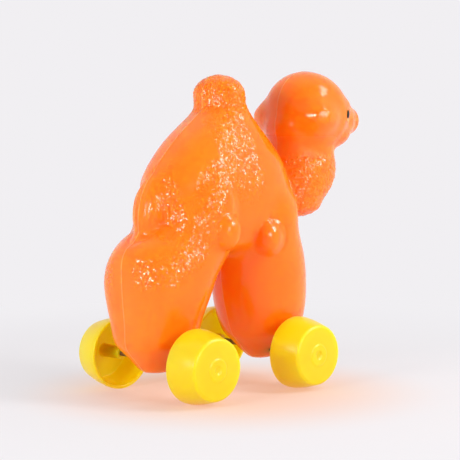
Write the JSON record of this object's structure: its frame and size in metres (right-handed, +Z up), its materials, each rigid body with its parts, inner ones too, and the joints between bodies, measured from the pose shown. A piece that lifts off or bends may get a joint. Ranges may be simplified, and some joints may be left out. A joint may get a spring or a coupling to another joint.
{
  "type": "wheeled toy camel",
  "caption": "Hollow blow-moulded toy camel with a tufted hump, rolling on cup wheels that are pressed on wire axles held in plain holes in its legs.",
  "frame": {"origin": "on the floor, under the middle of the toy's length and width", "axes": "+X towards the nose, +Y towards the camel's left side, +Z up"},
  "size_m": [0.1788, 0.0992, 0.1776],
  "materials": {
    "body_orange": "satin translucent polyethylene with a moulded pebble texture in places",
    "eye_black": "glossy black",
    "axle_steel": "dull steel wire, browned with age",
    "wheel_yellow": "satin moulded polyethylene"
  },
  "bodies": {
    "camel": {"body_shell": "body_orange", "left_eye": "eye_black", "right_eye": "eye_black"},
    "rear_wheelset": {"rear_axle": "axle_steel", "rear_left_wheel": "wheel_yellow", "rear_right_wheel": "wheel_yellow"},
    "front_wheelset": {"front_axle": "axle_steel", "front_left_wheel": "wheel_yellow", "front_right_wheel": "wheel_yellow"}
  },
  "joints": [
    {"name": "rear_axle_spin", "type": "hinge", "parent": "camel", "child": "rear_wheelset", "pos_m": [-0.06515, 0, 0.02], "axis": [0, 1, 0], "continuous": true},
    {"name": "front_axle_spin", "type": "hinge", "parent": "camel", "child": "front_wheelset", "pos_m": [0.00985, 0, 0.02], "axis": [0, 1, 0], "continuous": true}
  ]
}
